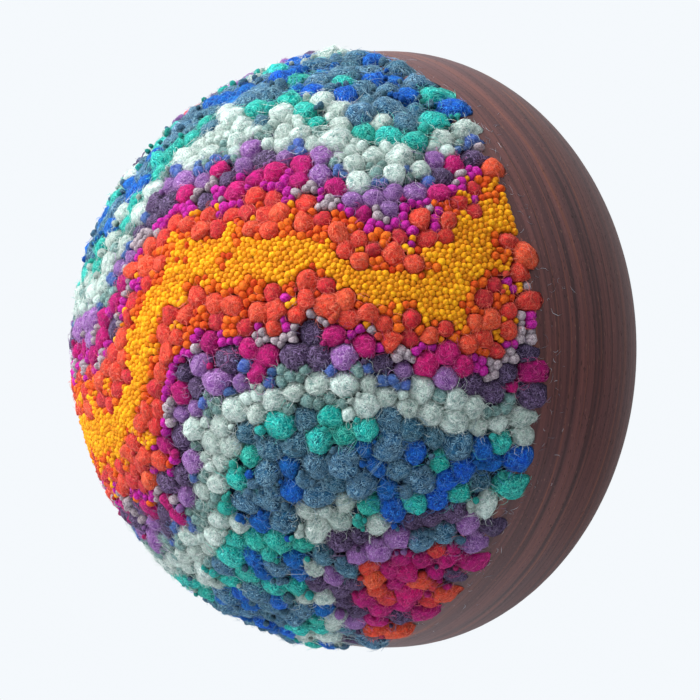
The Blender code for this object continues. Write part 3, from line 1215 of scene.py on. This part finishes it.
AZIMUTH = math.radians(48.5)
ELEVATION = math.radians(-0.3)
DISTANCE = 1.3455
SENSOR_WIDTH = 36
FOCAL_PIXELS = 4500
PHOTO_PIXELS = 700
LENS = SENSOR_WIDTH * FOCAL_PIXELS / PHOTO_PIXELS
AIM_RIGHT = 0.00688
AIM_DOWN = 0.0003

to_camera = Vector((
    math.sin(AZIMUTH) * math.cos(ELEVATION),
    -math.cos(AZIMUTH) * math.cos(ELEVATION),
    math.sin(ELEVATION),
))
to_right = Vector((math.cos(AZIMUTH), math.sin(AZIMUTH), 0))
aim = Vector((0, -WOOD_DEPTH, 0)) + to_right * AIM_RIGHT - Vector((0, 0, AIM_DOWN))

bpy.ops.object.camera_add(location=aim + to_camera * DISTANCE)
camera = bpy.context.object
camera.name = "photo_camera"
camera.rotation_euler = to_camera.to_track_quat("Z", "Y").to_euler()
camera.data.lens = LENS
camera.data.clip_start = 0.05
bpy.context.scene.camera = camera


def lamp(name, right, up, front, size, power, colour):
    """A square soft lamp, placed as the camera sees it and turned to the object."""
    spot = to_right * right + Vector((0, 0, up)) + to_camera * front
    bpy.ops.object.light_add(type="AREA", location=aim + spot)
    light = bpy.context.object
    light.name = name
    light.rotation_euler = spot.to_track_quat("Z", "Y").to_euler()
    light.data.size = size
    light.data.energy = power
    light.data.color = colour


lamp("window_lamp", -0.95, 0.95, 0.30, 1.0, 25.0, (1.0, 0.99, 0.97))

LIGHT_WAY = -to_right * 0.6 + Vector((0, 0, 0.8))
surround = bpy.data.worlds.new("pale_surround")
bpy.context.scene.world = surround
surround.use_nodes = True
sky = surround.node_tree.nodes
links = surround.node_tree.links
way_out = sky.new("ShaderNodeTexCoord")
facing = sky.new("ShaderNodeVectorMath")
facing.operation = "DOT_PRODUCT"
facing.inputs[1].default_value = LIGHT_WAY
fade = sky.new("ShaderNodeMapRange")
fade.inputs["From Min"].default_value = -1
fade.inputs["To Min"].default_value = 0.0
fade.inputs["To Max"].default_value = 1.25
seen = sky.new("ShaderNodeLightPath")
choice = sky.new("ShaderNodeMix")
choice.inputs["B"].default_value = 0.98
links.new(way_out.outputs["Generated"], facing.inputs[0])
links.new(facing.outputs["Value"], fade.inputs["Value"])
links.new(seen.outputs["Is Camera Ray"], choice.inputs["Factor"])
links.new(fade.outputs["Result"], choice.inputs["A"])
links.new(choice.outputs["Result"], sky["Background"].inputs["Strength"])
sky["Background"].inputs["Color"].default_value = (0.93, 0.965, 1.0, 1)
bpy.context.scene.view_settings.view_transform = "Standard"

deselect()
bpy.ops.mesh.primitive_plane_add(size=1.8, location=(0, -0.2, -0.6))
floor = bpy.context.object
floor.name = "studio_floor"
floor_finish = Finish("pale_floor", Roughness=0.9)
floor_place = floor_finish.add("ShaderNodeTexCoord", output="Object")
floor_grain = floor_finish.grain(floor_place, 30.0, 2.0)
floor_shade = floor_finish.mix(floor_grain, screen(206, 208, 212), screen(216, 218, 221))
floor_finish.put(floor_finish.shader.inputs["Base Color"], floor_shade)
floor.data.materials.append(floor_finish.material)
